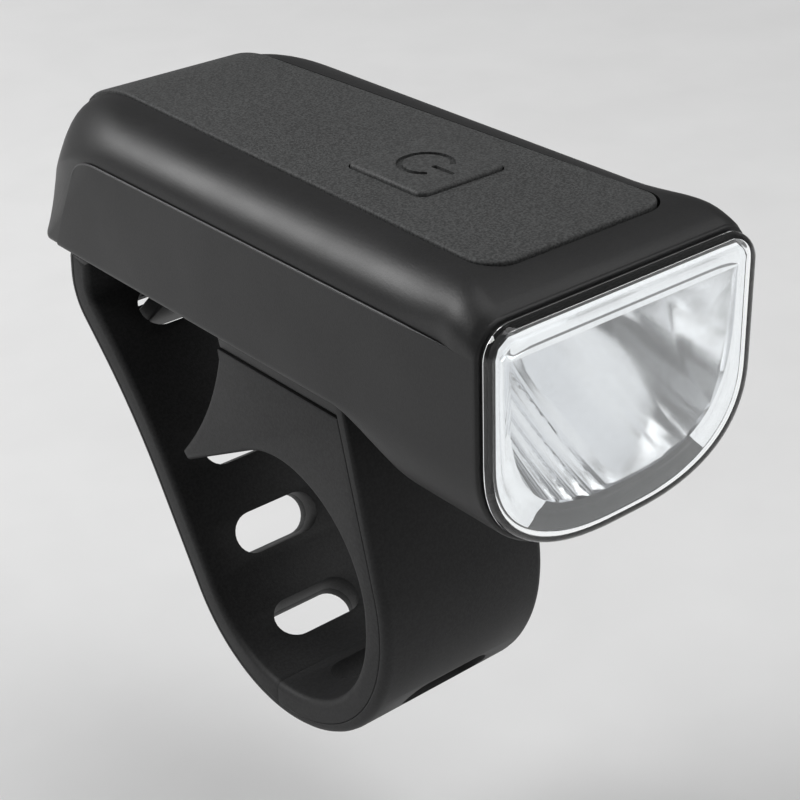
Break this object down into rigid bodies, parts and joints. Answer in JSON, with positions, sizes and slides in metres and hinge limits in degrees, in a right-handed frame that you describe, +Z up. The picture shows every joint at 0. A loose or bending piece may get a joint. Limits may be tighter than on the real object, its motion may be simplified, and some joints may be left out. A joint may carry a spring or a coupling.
{
  "type": "bicycle headlight",
  "caption": "Compact bicycle headlight with a clear D-shaped lens, a rubber top strip with a power button and charging flap, and a slotted rubber strap that clamps it to a handlebar.",
  "frame": {"origin": "the handlebar's axis, midway along the saddle", "axes": "+X along the handlebar, +Y from the lens to the rear end, +Z up"},
  "size_m": [0.04, 0.0973, 0.0825],
  "materials": {
    "soft_touch_shell": "fine grained soft-touch black",
    "side_shell": "fine grained black",
    "seal_rubber": "matte",
    "clear_lens": "clear polished plastic",
    "mirror_coat": "aluminised",
    "phosphor": "clear dome over yellow phosphor",
    "aluminium_core": "satin",
    "wire_sleeve": "satin",
    "circuit_board": "solder mask",
    "switch_plastic": "matte",
    "plated_steel": "plated",
    "cell_pouch": "satin foil",
    "foam": "open foam",
    "strip_rubber": "fine grained grey-black",
    "screw_steel": "zinc",
    "base_plastic": "matte black",
    "saddle_rubber": "matte",
    "strap_rubber": "matte"
  },
  "bodies": {
    "lamp": {"upper_housing": "soft_touch_shell", "lower_housing": "side_shell", "housing_seal": "seal_rubber", "front_lens": "clear_lens", "lens_gasket": "seal_rubber", "reflector": "mirror_coat", "led_emitter": "phosphor", "led_board": "aluminium_core", "heat_sink": "aluminium_core", "led_leads": "wire_sleeve", "main_board": "circuit_board", "switch_body": "switch_plastic", "charging_port": "plated_steel", "battery_cell": "cell_pouch", "battery_foam": "foam", "battery_leads": "wire_sleeve", "top_pad": "strip_rubber", "housing_screws": "screw_steel", "board_screws": "screw_steel", "mount_base": "base_plastic", "mount_screws": "screw_steel", "saddle_grip": "saddle_rubber", "strap_band": "strap_rubber"},
    "button": {"power_button": "strip_rubber", "switch_stem": "switch_plastic"},
    "flap": {"port_flap": "strip_rubber"},
    "tail": {"strap_tail": "strap_rubber"}
  },
  "joints": [
    {"name": "button_press", "type": "slide", "parent": "lamp", "child": "button", "axis": [0, 0, -1], "range_m": [0, 0.0006], "stiffness_N_per_m": 2500, "springref_m": -0.0002},
    {"name": "flap_hinge", "type": "hinge", "parent": "lamp", "child": "flap", "pos_m": [0, 0.04227, 0.05263], "axis": [1, 0, 0], "range_deg": [0, 100], "stiffness_Nm_per_rad": 0.002, "springref_deg": -17.19},
    {"name": "strap_release", "type": "hinge", "parent": "lamp", "child": "tail", "pos_m": [0, 0.004, -0.0258], "axis": [-1, 0, 0], "range_deg": [0, 70], "stiffness_Nm_per_rad": 0.02, "springref_deg": -20.05}
  ]
}
